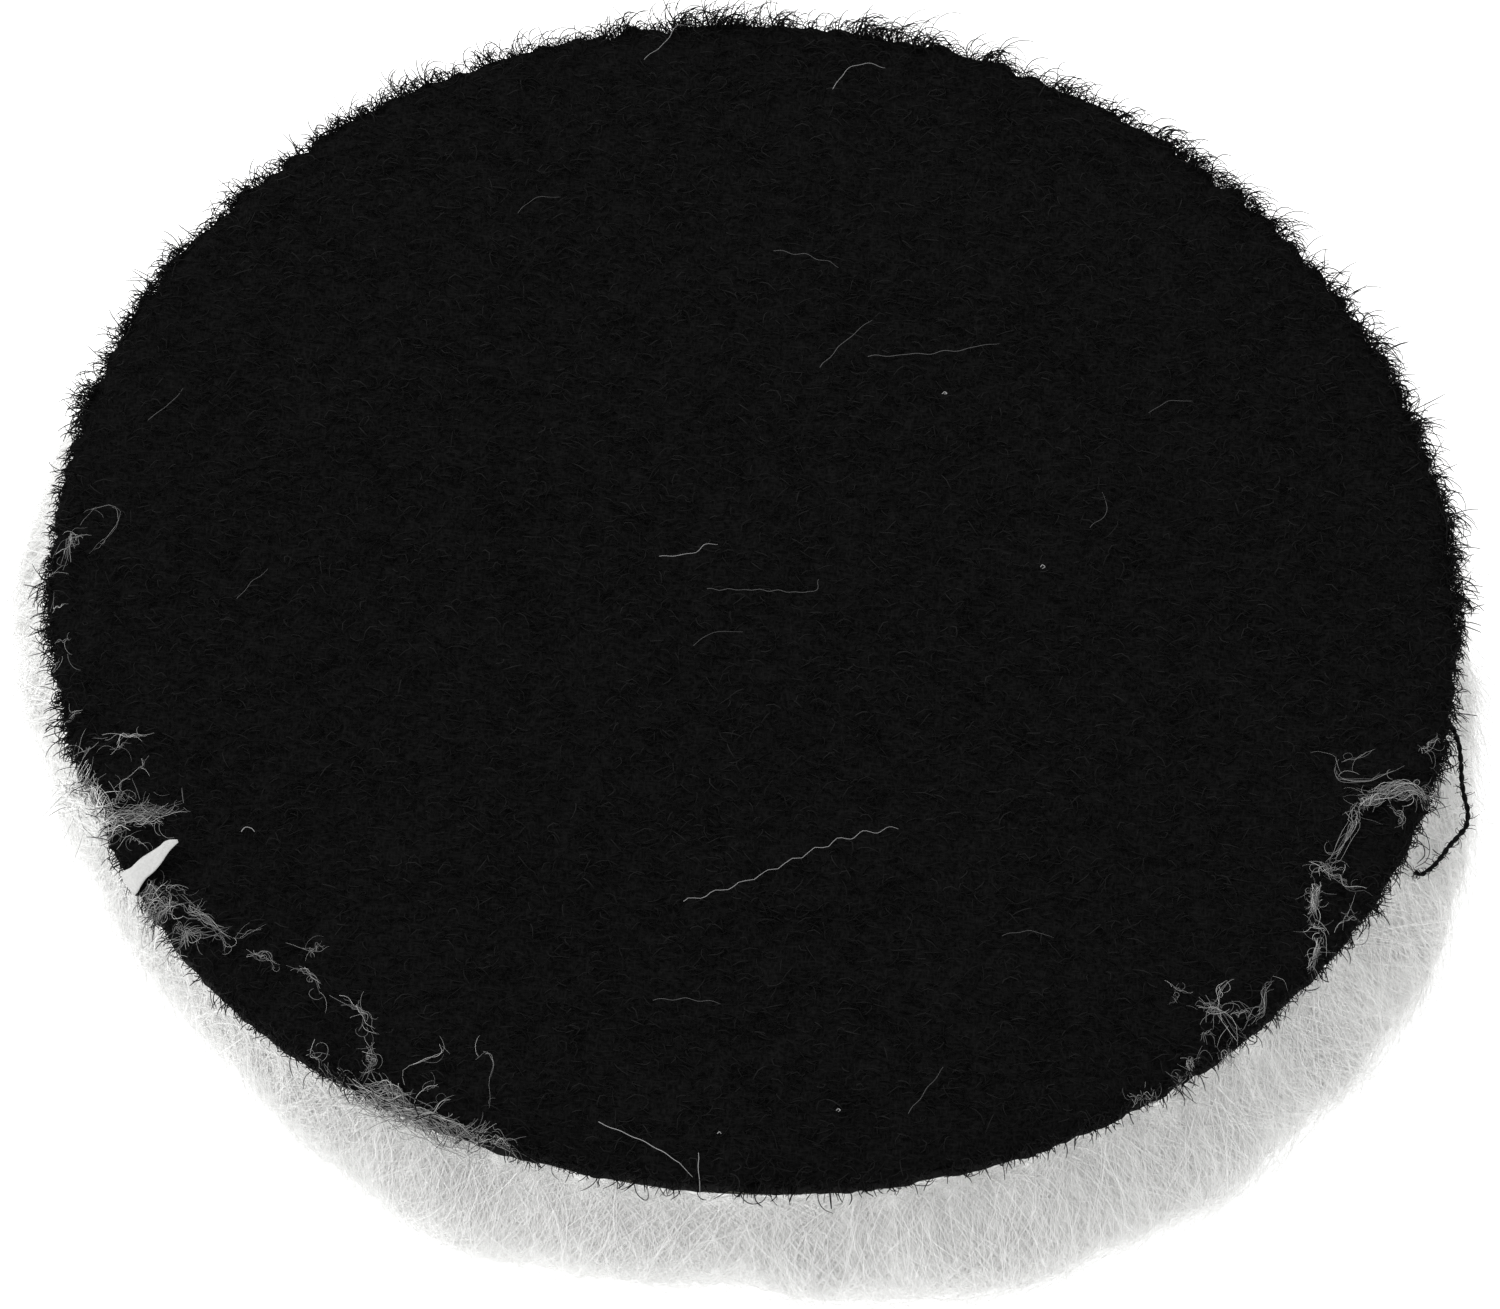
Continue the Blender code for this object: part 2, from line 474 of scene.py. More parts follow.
def bed_relief(x, y):
    """Height of the bed: its top, plus broad tufts and small clumps of smooth noise."""
    tufts = TUFT_HEIGHT * ripples(x, y, TUFT_SPACING, seed=11)
    clumps = CLUMP_HEIGHT * ripples(x, y, CLUMP_SPACING, seed=12)
    return BED_TOP + tufts + clumps


def nap_bed(materials):
    """Rings from the middle out over a worn shoulder, down the cut side and in underneath."""
    angle = np.linspace(0, TURN, BED_COLUMNS, endpoint=False)
    far = far_side(angle)
    rim = cut_outline(angle) - 0.15 * MM
    tufts = ripples(rim * np.cos(angle), rim * np.sin(angle), 1.7 * MM, seed=14)
    rim = rim + (0.09 + 0.05 * far) * MM * tufts
    radius = np.linspace(0.01, 1.0, BED_ROWS)[:, None] * rim
    x, y = radius * np.cos(angle), radius * np.sin(angle)
    worn = np.clip((radius - rim + SHOULDER_WIDTH) / SHOULDER_WIDTH, 0, 1) ** 2
    top = around(radius, angle, bed_relief(x, y) - (0.35 - 0.25 * far) * MM * worn)
    base = NAP_LOW + 0.02 * MM
    side_share, side_height = np.array(CUT_SIDE).T[:, :, None]
    side_radius = side_share * rim + 0.05 * MM * ripples(x[-1], y[-1], 0.9 * MM, seed=13)
    side = around(side_radius, angle, base + side_height * (top[-1, :, 2] - base))
    rings = np.concatenate([top, side])
    crown = (0, 0, bed_relief(0.0, 0.0))
    return turned_piece("loop_nap_bed", rings, crown, (0, 0, base), materials)


# %% Matted nylon
FIBRE_MATTING = 0.13 * MM  # a real filament is 0.05 mm, too fine to show, so it's drawn coarser


def streaks(tree, place, stretch):
    """Noise drawn out along one direction, so that it looks like fibres lying that way."""
    drawn = add_node(tree, "ShaderNodeMapping", {"Vector": place, "Scale": stretch})
    fine = {"Vector": drawn.outputs["Vector"], "Scale": 1 / FIBRE_MATTING, "Detail": 2.0}
    return add_node(tree, "ShaderNodeTexNoise", fine).outputs["Fac"]


def matted_nylon():
    """Streaks across and along the pad: the higher one raises the bump, and lightens the nylon as a
    painted highlight.
    """
    material, tree, _ = new_surface("matted_black_nylon", "#0C0C0C", 0.95, specular=0.02)
    place = add_node(tree, "ShaderNodeTexCoord").outputs["Object"]
    across = streaks(tree, place, (0.28, 1.0, 1.0))
    along = streaks(tree, place, (1.0, 0.35, 1.0))
    mat = add_node(tree, "ShaderNodeMath", {0: across, 1: along}, operation="MAXIMUM")
    # painted highlight: the higher streaks are lightened as if they caught the light, over the
    # nylon's own streaky tone
    sharp = {"Value": mat.outputs["Value"], "From Min": 0.42, "From Max": 0.74}
    streaks_and_highlight = add_node(tree, "ShaderNodeMapRange", sharp).outputs["Result"]
    return paint(material, streaks_and_highlight, "#060606", "#141414", mat.outputs["Value"], 0.08 * MM)


bed = nap_bed([matted_nylon()])
settle(bed, "loop_nap", "loop_nap")
print("nap bed", len(bed.data.polygons), "faces")

# %% [markdown]
# ## Fibres by the thousand
# A fibre is a centreline and a thickness. Its centreline is walked: from its root it takes equal
# steps, and every step has a compass heading and a climb, so curls, arches and droops are all just
# arrays of angles added up. Then a triangle is carried along every centreline at once. Three sides
# with smooth shading look round at this size, and cost about thirty faces a fibre.

# %% Walk and sweep


def unit(vectors):
    """Each vector divided by its length."""
    return vectors / np.maximum(np.linalg.norm(vectors, axis=-1, keepdims=True), 1e-12)


def walk(roots, heading, climb, step):
    """Centrelines (n, s, 3): roots (n, 3) plus the running sum of steps along heading and climb."""
    level = np.cos(climb)
    stride = np.stack([level * np.cos(heading), level * np.sin(heading), np.sin(climb)], axis=-1)
    travelled = np.cumsum(stride * step[..., None], axis=1)
    return roots[:, None] + np.concatenate([np.zeros_like(travelled[:, :1]), travelled], axis=1)


def sweep(paths, radii, sides=3):
    """Rings (n, s, sides, 3) round centrelines (n, s, 3), square to their tangents.

    A ring's axes are the tangent crossed with the direction that its fibre bends least in, which is
    the smallest eigenvector of the sum of its tangents' outer products.
    """
    tangent = unit(np.gradient(paths, axis=1))
    spread = np.einsum("nsi,nsj->nij", tangent, tangent)
    steady = np.linalg.eigh(spread)[1][:, :, 0]
    side = unit(np.cross(tangent, steady[:, None]))
    up = np.cross(tangent, side)
    turn = TURN * np.arange(sides) / sides
    ring = np.cos(turn)[:, None] * side[:, :, None] + np.sin(turn)[:, None] * up[:, :, None]
    return paths[:, :, None] + radii[:, :, None, None] * ring


def fibre_piece(name, paths, radii, materials, tones=None, sides=3):
    """One object holding every fibre as a closed tube; tones (n) picks each fibre's material."""
    rings = sweep(paths, radii, sides)
    fibres, steps = paths.shape[:2]
    per_fibre = steps * sides
    first = np.arange(fibres)[:, None] * per_fibre
    tube = round_grid(steps, sides)[:, ::-1]
    walls = (first[:, :, None] + tube[None]).reshape(-1, 4)
    near_cap = first + np.arange(sides)[::-1]
    far_cap = first + per_fibre - sides + np.arange(sides)
    tones = np.zeros(fibres, int) if tones is None else tones
    face_tones = np.concatenate([np.repeat(tones, len(tube)), tones, tones])
    return mesh_piece(name, rings.reshape(-1, 3), [walls, near_cap, far_cap], materials, face_tones)


def tapered(count, steps, thickness, tip=0.6):
    """Radii (n, s): half the thickness, narrowing to a share of it over the last third."""
    along = np.linspace(0, 1, steps)
    taper = 1 - (1 - tip) * np.clip((along - 0.66) / 0.34, 0, 1)
    return thickness[:, None] / 2 * taper


def coat(rng, name, slot, paths, thickness, looks, tip=0.6):
    """One settled piece of tapered fibres; each draws its tone by the looks' shares."""
    materials, shares = looks
    count, steps = paths.shape[:2]
    tones = rng.choice(len(materials), count, p=shares)
    radii = tapered(count, steps, thickness, tip)
    return settle(fibre_piece(name, paths, radii, materials, tones), slot)


def triangles(piece):
    """How many triangles a piece has, which is its corners less two for each face."""
    return len(piece.data.loops) - 2 * len(piece.data.polygons)


# %% [markdown]
# ## Black nylon in three tones
# The loops are all dyed the same black. What tells one from the next is how worn it is: most drink
# the light, some are a little scuffed, and a few carry dust and catch it. Nylon's own gloss is far
# down here, because a brushed filament is rough all over. Most strokes run across the pad, the way
# the cloth was brushed.

# %% Loops all over the face
LOOP_THICKNESS = 0.062 * MM
LOOPS_PER_PIECE = 7400
LOOP_PIECES = 3
LOOP_STEPS = 5
LOOP_LENGTHS = (0.7, 1.7)

nylon_tones = [
    new_surface("black_nylon_loop", "#0B0B0B", 0.8, specular=0.05)[0],
    new_surface("scuffed_nylon_loop", "#111111", 0.8, specular=0.08)[0],
    new_surface("dusty_nylon_loop", "#191919", 0.9, specular=0.10)[0],
]
NYLON = (nylon_tones, (0.58, 0.34, 0.08))


def scatter(rng, count, edge):
    """Points spread evenly inside an edge: the radius goes as the root of a random share."""
    angle = rng.uniform(0, TURN, count)
    radius = edge(angle) * np.sqrt(rng.uniform(0, 1, count))
    return radius * np.cos(angle), radius * np.sin(angle)


def face_loops(name, seed):
    """Arched curls on the bed: the climb swings from up to down while the heading turns."""
    rng = np.random.default_rng(seed)
    count = LOOPS_PER_PIECE
    x, y = scatter(rng, count, lambda angle: cut_outline(angle) - 0.2 * MM)
    roots = np.stack([x, y, bed_relief(x, y) - 0.10 * MM], axis=-1)
    along = np.linspace(0, 1, LOOP_STEPS - 1)
    brushed = np.where(rng.random(count) < 0.5, 0.0, np.pi) + rng.normal(0, 0.65, count)
    curl = rng.normal(0, 1.7, count)
    heading = brushed[:, None] + curl[:, None] * (along - 0.5)
    lift = rng.uniform(0.35, 1.1, count)
    climb = lift[:, None] * np.cos(np.pi * along) + rng.normal(0, 0.12, (count, LOOP_STEPS - 1))
    length = rng.uniform(*LOOP_LENGTHS, count) * MM
    paths = walk(roots, heading, climb, length[:, None] / (LOOP_STEPS - 1))
    thickness = LOOP_THICKNESS * rng.uniform(0.75, 1.25, count)
    return coat(rng, name, "loop_nap", paths, thickness, NYLON)


face_pieces = [face_loops(f"loop_nap_fibres_{i + 1}", seed=100 + i) for i in range(LOOP_PIECES)]
print(LOOP_PIECES, "pieces of loops,", triangles(face_pieces[0]), "triangles each")

# %% [markdown]
# ## Loops round the rim
# Where the cloth was cut, the loops at its edge have nothing to lean on, so they stand out past it
# in tufts with gaps between. Along the far edge they are long, stand up and arch over to the right.
# Along the near edge they are short and hug the wool. A tuft is a place on the rim, and its loops
# gather round it with a bell-shaped scatter.

# %% Rim loops
RIM_TUFTS = 150
TUFT_SPREAD = 0.6 * MM
BEYOND = (-15, 195)  # degrees of the rim that the far tufts share


def rim_loops(name, seed, count, steps, far_share, in_tufts, length_range):
    """Arcs rooted on the nap's shoulder: they head outwards and up, then bend over to one side."""
    rng = np.random.default_rng(seed)
    anywhere = rng.uniform(0, TURN, RIM_TUFTS)
    beyond = np.radians(rng.uniform(*BEYOND, RIM_TUFTS))
    tuft_angle = np.where(rng.random(RIM_TUFTS) < far_share, beyond, anywhere)
    tuft_size = rng.uniform(0.5, 1.4, RIM_TUFTS)
    mine = rng.choice(RIM_TUFTS, count, p=tuft_size / tuft_size.sum())
    gathered = rng.random(count) < in_tufts
    angle = tuft_angle[mine] + rng.normal(0, TUFT_SPREAD / PAD_RADIUS, count)
    angle = np.where(gathered, angle, rng.uniform(0, TURN, count))
    far = far_side(angle)
    radius = cut_outline(angle) - (0.1 + 0.5 * far) * rng.uniform(0, 1, count) * MM
    height = rng.uniform(NAP_LOW - 0.4 * MM, BED_TOP, count)
    along = np.linspace(0, 1, steps - 1)
    start = angle + 0.55 * far + rng.normal(0, 1.1 - 0.65 * far, count)
    turn = -2.4 * far + rng.normal(0, 2.2 - 1.5 * far, count)
    heading = start[:, None] + turn[:, None] * along
    lift = rng.normal(0.05 + 0.80 * far, 0.35, count)
    droop = (0.75 + 0.25 * far) * rng.uniform(0.6, 1.9, count)
    climb = lift[:, None] - droop[:, None] * along
    reach = (0.55 + 0.45 * far) * np.where(gathered, tuft_size[mine], 1.0)
    length = reach * rng.uniform(*length_range, count) * MM
    paths = walk(around(radius, angle, height), heading, climb, length[:, None] / (steps - 1))
    thickness = LOOP_THICKNESS * rng.uniform(0.75, 1.15, count)
    return coat(rng, name, "loop_nap", paths, thickness, NYLON)


short_rim = rim_loops("loop_nap_rim_short", 200, 5200, 6, 0.2, 0.2, (0.7, 1.5))
long_rim = rim_loops("loop_nap_rim_long", 201, 4200, 8, 0.75, 0.7, (1.2, 2.6))
print("rim loops", triangles(short_rim) + triangles(long_rim), "triangles")

# %% [markdown]
# ## Loops that have slipped out at the near edge
# A few loops were cut or pulled at the near edge and the right, and hang out over the white wool,
# where each one shows. They are placed one by one: each route starts on the nap's shoulder, dips
# over the wool and, if the loop is whole, comes back to the rim. Lengths run from 1 to 3 mm.

# %% A smooth line through a route


def points_of(numbers, axes):
    """The rest of a table's row as a route, one point to a line."""
    return np.reshape(numbers, (-1, axes))


def smooth_route(route, steps):
    """Catmull-Rom curve through the route: a cubic for each span, eased by its neighbours."""
    points = np.asarray(route, float)
    padded = np.concatenate([[2 * points[0] - points[1]], points, [2 * points[-1] - points[-2]]])
    place = np.linspace(0, len(points) - 1 - 1e-9, steps)
    span = place.astype(int)
    t = (place - span)[:, None]
    before, here, after, beyond = (padded[span + i] for i in range(4))
    return 0.5 * (2 * here + (after - before) * t
                  + (2 * before - 5 * here + 4 * after - beyond) * t**2
                  + (3 * here - before - 3 * after + beyond) * t**3)


def distance_run(line):
    """How far along the line each of its points is: the running sum of its spans' lengths."""
    return np.concatenate([[0], np.cumsum(np.linalg.norm(np.diff(line, axis=0), axis=-1))])


# %% Slipped loops
SLIPPED_STEPS = 18
SLIPPED_LOOPS = (
    # thickness in mm, then x, y, z along the route
    (0.05, -4, -37.8, 8.2, -3.8, -38.1, 7.5, -3.4, -38.3, 7.2, -3.2, -38.2, 7.3, -3.3, -37.8, 8),
    (0.05, -2.7, -38, 8.2, -2.5, -38, 7.6, -2.3, -38.1, 7.4, -2, -38, 7.5, -1.8, -37.9, 8.1),
    (0.06, 1.4, -37.7, 8.3, 1.6, -38, 7.6, 2.1, -38.1, 7.2, 2.7, -37.9, 7.3, 3, -37.5, 8.3),
    (0.05, 5.4, -37.5, 8.3, 5.5, -37.9, 7.7, 5.8, -38.1, 7.2, 6.3, -38.2, 7),
    (0.09, 6, -37.4, 8.3, 6.1, -37.7, 7.7, 6.2, -38, 7.1),
    (0.04, 6.7, -37.3, 8.2, 6.8, -37.5, 7.7, 6.7, -37.8, 7.3),
    (0.05, 9.9, -36.7, 8.2, 10.4, -36.6, 7.7, 11.1, -36.5, 7.6, 11.4, -36.4, 8.1),
    (0.06, 12.5, -35.7, 8.2, 13.1, -35.8, 7.6, 13.6, -35.6, 7.6, 13.9, -35.4, 8.1),
    (0.05, 14.7, -35.1, 8.2, 14.9, -35.3, 7.7, 15, -35.7, 7.3),
    (0.05, 36.2, -13, 8.2, 36.6, -13.1, 7.7, 36.8, -13.9, 7.5, 36.6, -14.6, 7.5, 36, -15.2, 7.7),
    (0.07, 36, -13.8, 8.3, 36.4, -13.9, 7.9, 36.5, -14.4, 7.7, 36.1, -15, 7.8),
    (0.08, 37, -9.4, 8.3, 37.6, -8.9, 7.8, 38, -8.6, 7.6, 38.4, -8.1, 7.4),
    (0.05, 37.2, -8.5, 8.3, 37.7, -7.9, 7.8, 38, -7.5, 7.6, 38.4, -7.6, 7.4),
    (0.06, 37.4, -5.7, 8.4, 38.1, -5.5, 8.2, 38.7, -5.4, 8, 39.3, -5.3, 7.8),
    (0.06, 37.5, -5.1, 8.4, 38.1, -5.2, 8.1, 38.5, -5.4, 7.9, 38.9, -5.5, 7.7),
    (0.04, 36.4, -11.8, 8, 37.1, -11.5, 7.8, 37.9, -11.1, 7.7),
    (0.03, 33.4, -18.4, 8.3, 33.6, -19.1, 7.6, 33.5, -19.7, 7.2, 33, -19.9, 7.1, 32, -19.8, 7.3),
)


def slipped_loops(name):
    """The smooth route of every slipped loop, in one piece, alternating in tone."""
    curves = [smooth_route(points_of(route, 3), SLIPPED_STEPS) for _, *route in SLIPPED_LOOPS]
    lines = np.array(curves) * MM
    thickness = np.array([loop[0] for loop in SLIPPED_LOOPS]) * MM
    radii = tapered(len(lines), SLIPPED_STEPS, thickness)
    tones = np.arange(len(lines)) % len(nylon_tones)
    return settle(fibre_piece(name, lines, radii, nylon_tones, tones, sides=4), "loop_nap")


slipped = slipped_loops("loop_nap_slipped_loops")
print(len(SLIPPED_LOOPS), "slipped loops,", triangles(slipped), "triangles")

# %% [markdown]
# ## The wool's body
# The wool is a mass of fine curly fibre, brushed outwards. It wraps the cut edge of its backing,
# swells out below it and tucks in at the table. It isn't even: it leans to the right and the near
# side, and is parted at the front. Its body is one closed surface of two parameters, the angle
# round the pad and the depth from the top of the wool's side (0) to the table (1).

# %% Wool body
WOOL_ROWS = 40
WOOL_COLUMNS = 540
COLLAR_HIGH = CLOTH_LOW - LAP
FULLEST_AT = 0.65
WOOL_INSIDE = 0.25 * MM
LOCKS = 26
WOOL_REACH = (
    # angle in degrees, how far the wool stands out past the pad's outline, mm
    (0, 1.3), (14, 0.9), (45, 0.7), (90, 1), (135, 0.9), (170, 2), (180, 2.5), (190, 1.9),
    (200, 0.9), (212, 0.4), (225, 0), (235, 0.5), (244, 2.2), (254, 3.4), (264, 2.2), (272, 1.7),
    (281, 3.5), (291, 4), (305, 4.3), (320, 3.9), (334, 3.6), (346, 2.3), (360, 1.3),
)


def wool_reach(angle):
    """The table read at an angle, then averaged over a few degrees so that it has no corners."""
    at, reach = np.array(WOOL_REACH).T
    degrees = np.degrees(angle) % 360
    near = [np.interp((degrees + step) % 360, at, reach) for step in (-5, -2.5, 0, 2.5, 5)]
    return sum(near) / len(near) * MM


def lock_wave(angle):
    """Locks round the rim: a cosine whose count of waves wanders, so that no two are alike."""
    wander = 0.9 * np.sin(2 * angle + 0.7) + 0.6 * np.sin(5 * angle + 2.1) + 0.4 * np.sin(9 * angle)
    return np.cos(LOCKS * angle + 1.6 * wander)


def wool_wall(angle, depth):
    """Radius of the wool's side: 3s^2 - 2s^3 out to its fullest, then in again as a parabola."""
    share = np.clip(depth / FULLEST_AT, 0, 1)
    swell = share**2 * (3 - 2 * share)
    tuck = 0.18 * np.clip((depth - FULLEST_AT) / (1 - FULLEST_AT), 0, 1) ** 2
    locks = 0.14 * MM * np.clip(depth, 0, 1) * lock_wave(angle)
    collar = np.maximum(cut_outline(angle) - 0.15 * MM, FILM_RADIUS + 0.06 * MM)
    return collar + wool_reach(angle) * (swell - tuck) + locks


def wool_dish(angle):
    """Rings of the hollow in the wool's top: under the backing, up its edge, round the film."""
    inner = cut_outline(angle) - COLLAR_WIDTH + LAP
    shelf = np.maximum(cut_outline(angle) - 0.2 * MM, FILM_RADIUS + 0.02 * MM)
    radius = np.array([0.3 * inner, 0.6 * inner, 0.9 * inner, inner, inner, shelf, shelf])
    ledge = FILM_LOW - LAP
    height = np.array([PILE_HIGH] * 4 + [ledge, ledge, COLLAR_HIGH])[:, None]
    return around(radius, angle, height)


def wool_body(materials):
    """Rings of the dish, down the side at even depths, and in across the working face."""
    angle = np.linspace(0, TURN, WOOL_COLUMNS, endpoint=False)
    depth = np.linspace(0.0, 0.95, WOOL_ROWS)[:, None]
    height = COLLAR_HIGH * (1 - depth)
    radius = wool_wall(angle, depth) - WOOL_INSIDE * np.minimum(1, 5 * depth)
    x, y = radius * np.cos(angle), radius * np.sin(angle)
    lumps = ripples(x + height, y - height, 0.9 * MM, seed=21)
    radius = radius + 0.06 * MM * lumps * np.minimum(1, 4 * depth)
    side = around(radius, angle, height)
    share = np.linspace(0.985, 0.03, 46)[:, None]
    face_x, face_y = share * side[-1, :, 0], share * side[-1, :, 1]
    broad = ripples(face_x, face_y, 3 * MM, seed=22)
    fine = ripples(face_x, face_y, MM, seed=23)
    swirls = 0.12 * broad + 0.06 * fine
    face = np.stack([face_x, face_y, np.maximum(0.30 + swirls, 0.03) * MM], axis=-1)
    rings = np.concatenate([wool_dish(angle), side, face])
    return turned_piece("wool_body", rings, (0, 0, PILE_HIGH), (0, 0, 0.3 * MM), materials)


def wool_surface():
    """Lambswool too fine to count: fibrous noise drives a soft change of white and the bump.

    A real fibre is 0.03 mm thick, too fine to show here, so the noise is drawn at 0.25 mm.
    """
    material, tree, _ = new_surface("white_lambswool_mass", "#F4F4F3", 0.95, specular=0.05)
    place = add_node(tree, "ShaderNodeTexCoord").outputs["Object"]
    sizes = [{"Vector": place, "Scale": 1 / (0.25 * MM), "Detail": 4.0},
             {"Vector": place, "Scale": 1 / (3 * MM), "Detail": 2.0}]
    fine, broad = (add_node(tree, "ShaderNodeTexNoise", size).outputs["Fac"] for size in sizes)
    mixed = add_node(tree, "ShaderNodeMath", {0: fine, 1: broad}, operation="MULTIPLY")
    return paint(material, mixed.outputs["Value"], "#F3F3F2", "#FDFDFC", fine, 0.12 * MM)


body = wool_body([wool_surface()])
settle(body, "wool_pile", "wool_pile")
print("wool body", len(body.data.polygons), "faces")

# %% [markdown]
# ## Wool fibres over the side
# Wool hides its body under loose fibre. Each fibre starts at the backing and runs down the side,
# drawn towards the middle line of its lock as it goes, so locks end in soft points. It lies at its
# own depth in the fleece, waves a little with its crimp, and may fly off the surface at its tip.

# %% Fringe of wool
WOOL_THICKNESS = 0.030 * MM
FRINGE_PIECES = 3
FRINGE_PER_PIECE = 5600
FRINGE_STEPS = 6
WOOL_TIP = 0.4
FLY_OFF = 0.75 * MM

# three near whites, soft and without gloss: the shaded one parts a fibre from its neighbours
wool_tones = [
    new_surface("white_lambswool", "#FAFAF9", 0.9, specular=0.1, sheen=0.1)[0],
    new_surface("shaded_lambswool", "#F4F4F3", 0.9, specular=0.1, sheen=0.1)[0],
    new_surface("bright_lambswool", "#FEFEFD", 0.9, specular=0.1, sheen=0.1)[0],
]
WOOL = (wool_tones, (0.5, 0.25, 0.25))


def lock_pull(angle, strength):
    """Where a fibre at this angle ends: moved towards its lock's crest by the slope of the wave."""
    slope = (lock_wave(angle + 0.01) - lock_wave(angle - 0.01)) / 0.02
    return angle + strength * slope / LOCKS**2


def fringe(name, seed):
    """Centrelines on the wool's side: angle and depth change along the fibre, plus a fly-off."""
    rng = np.random.default_rng(seed)
    count = FRINGE_PER_PIECE
    start = rng.uniform(0, TURN, count)
    end = lock_pull(start, 0.9) + rng.normal(0, 0.075, count)
    along = np.linspace(0, 1, FRINGE_STEPS)
    bow = rng.normal(0, 0.04, count)
    bend = bow[:, None] * np.sin(np.pi * along)
    angle = start[:, None] + (end - start)[:, None] * along**1.3 + bend
    first = 0.55 * rng.random(count) ** 2.5
    last = np.clip(first + rng.uniform(0.3, 0.8, count), 0.2, 0.99)
    depth = first[:, None] + (last - first)[:, None] * along
    waves, phase = rng.uniform(1.0, 2.0, (count, 1)), rng.random((count, 1))
    crimp = 0.05 * MM * np.sin(TURN * (along * waves + phase))
    layer = rng.uniform(-0.9, 0.25, count)[:, None] * WOOL_INSIDE
    layer = layer * np.minimum(1, 4 * np.maximum(depth, 0))
    fly = rng.exponential(1.0, count) * FLY_OFF
    radius = wool_wall(angle, depth) + layer + fly[:, None] * along**2 + crimp
    height = np.maximum(COLLAR_HIGH * (1 - depth) + crimp, 0.04 * MM)
    thickness = WOOL_THICKNESS * rng.uniform(0.7, 1.2, count)
    return coat(rng, name, "wool_pile", around(radius, angle, height), thickness, WOOL, WOOL_TIP)


fringe_pieces = [fringe(f"wool_fringe_{i + 1}", seed=300 + i) for i in range(FRINGE_PIECES)]
print(FRINGE_PIECES, "pieces of fringe,", triangles(fringe_pieces[0]), "triangles each")

# %% [markdown]
# ## The working face
# Nobody sees this face while the pad lies on it, but it is the one that does the work. Wool that
# stands on its ends is bent over by the pad's weight, so the fibres lie flat in swirls. Their
# headings follow a smooth noise over the face, so neighbours lie together like hair.

# %% Fibres pressed flat underneath
FACE_WOOL_COUNT = 2000
FACE_WOOL_STEPS = 8
FACE_WOOL_THICKNESS = 2.4 * WOOL_THICKNESS  # drawn thicker, so that few fibres cover the face


def pressed_wool(name, seed):
    """Fibres low over the body's underside, walked along headings read from smooth noise."""
    rng = np.random.default_rng(seed)
    count = FACE_WOOL_COUNT
    x, y = scatter(rng, count, lambda angle: wool_wall(angle, 0.9) - 2.5 * MM)
    along = np.linspace(0, 1, FACE_WOOL_STEPS - 1)
    swirl = 1.4 * ripples(x, y, 16 * MM, seed=seed + 1)
    bend = rng.normal(0, 0.5, count)
    heading = (swirl + rng.normal(0, 0.25, count))[:, None] + bend[:, None] * along
    crimp = 0.35 * np.sin(TURN * (along * 2.5 + rng.random((count, 1))))
    roots = np.stack([x, y, rng.uniform(0.05, 0.22, count) * MM], axis=-1)
    length = rng.uniform(2.5, 5.0, count) * MM
    paths = walk(roots, heading + crimp, 0 * heading, length[:, None] / (FACE_WOOL_STEPS - 1))
    thickness = FACE_WOOL_THICKNESS * rng.uniform(0.7, 1.2, count)
    clear = tapered(count, FACE_WOOL_STEPS, thickness, WOOL_TIP) + 0.005 * MM
    paths[..., 2] = np.maximum(paths[..., 2], clear)
    return coat(rng, name, "wool_pile", paths, thickness, WOOL, WOOL_TIP)


pressed = pressed_wool("wool_face_fibres", seed=400)
print("working face", triangles(pressed), "triangles")

# %% [markdown]
# ## Where loose fibres lie
# The fibres that have strayed onto the black face each lie where chance left them, so they can't
# come from one formula. Each gets a route of a few points across the face, in millimetres from the
# pad's centre, and the same smooth curve runs through them. Their height is that of the loops.

# %% Height of the loops


def resting_height(x, y):
    """Height of the loops' tips under a point, falling away past the rim's worn shoulder."""
    past = np.hypot(x, y) - cut_outline(np.arctan2(y, x)) + 0.4 * MM
    return NAP_HIGH - 1.2 * np.maximum(past, 0)


# %% [markdown]
# ## Wool that has crept over the rim
# Wool works its way round the edge of the pad and clings to the black loops, which hold it as they
# hold hooks. It lies in wisps along the left and near rim, in an arch and a ring at the right, and
# it has been combed into a tuft at one spot. A wisp is a bundle: every fibre takes its own stretch
# of the route, strays sideways from it in a slow wave, and dips under the loops here and there.

